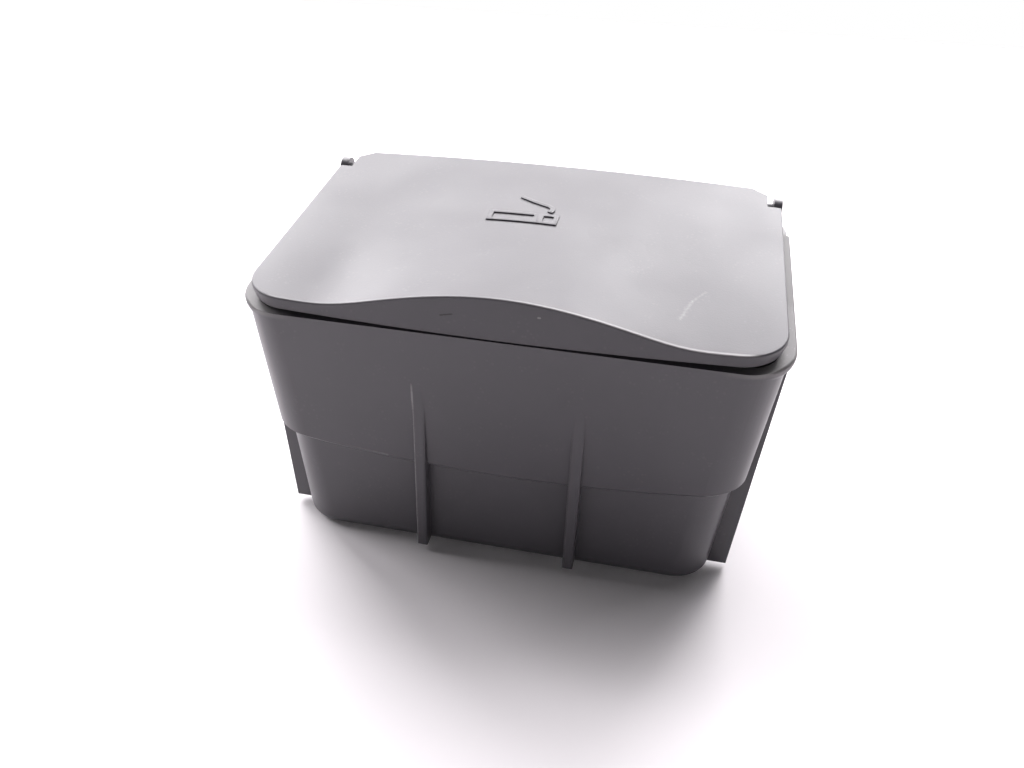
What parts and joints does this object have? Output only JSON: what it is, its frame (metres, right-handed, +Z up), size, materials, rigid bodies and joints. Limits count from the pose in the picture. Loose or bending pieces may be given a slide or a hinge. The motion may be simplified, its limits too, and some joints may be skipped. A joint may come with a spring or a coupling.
{
  "type": "car ashtray",
  "caption": "Drop-in car ashtray: tapered moulded bin with sloping mouth, guide ribs and fins, and a lift-up hinged lid with a raised finger brow over a steel stub-out plate.",
  "frame": {"origin": "centre of the bounding box on the plane of the bin's foot", "axes": "+Z up, +X across the width to the right when facing the finger brow, front (finger brow) towards -Y, hinge towards +Y"},
  "size_m": [0.1104, 0.0652, 0.0709],
  "materials": {
    "bin_plastic": "fine-grained dark grey moulding",
    "lid_plastic": "satin dark grey moulding, lightly scratched",
    "plate_steel": "plain pressed sheet"
  },
  "bodies": {
    "bin_body": {"bin": "bin_plastic", "stub_plate": "plate_steel"},
    "lid_body": {"lid": "lid_plastic"}
  },
  "joints": [
    {"name": "lid_hinge", "type": "hinge", "parent": "bin_body", "child": "lid_body", "pos_m": [0, 0.0278, 0.0669], "axis": [-1, 0, 0], "range_deg": [0, 108]}
  ]
}
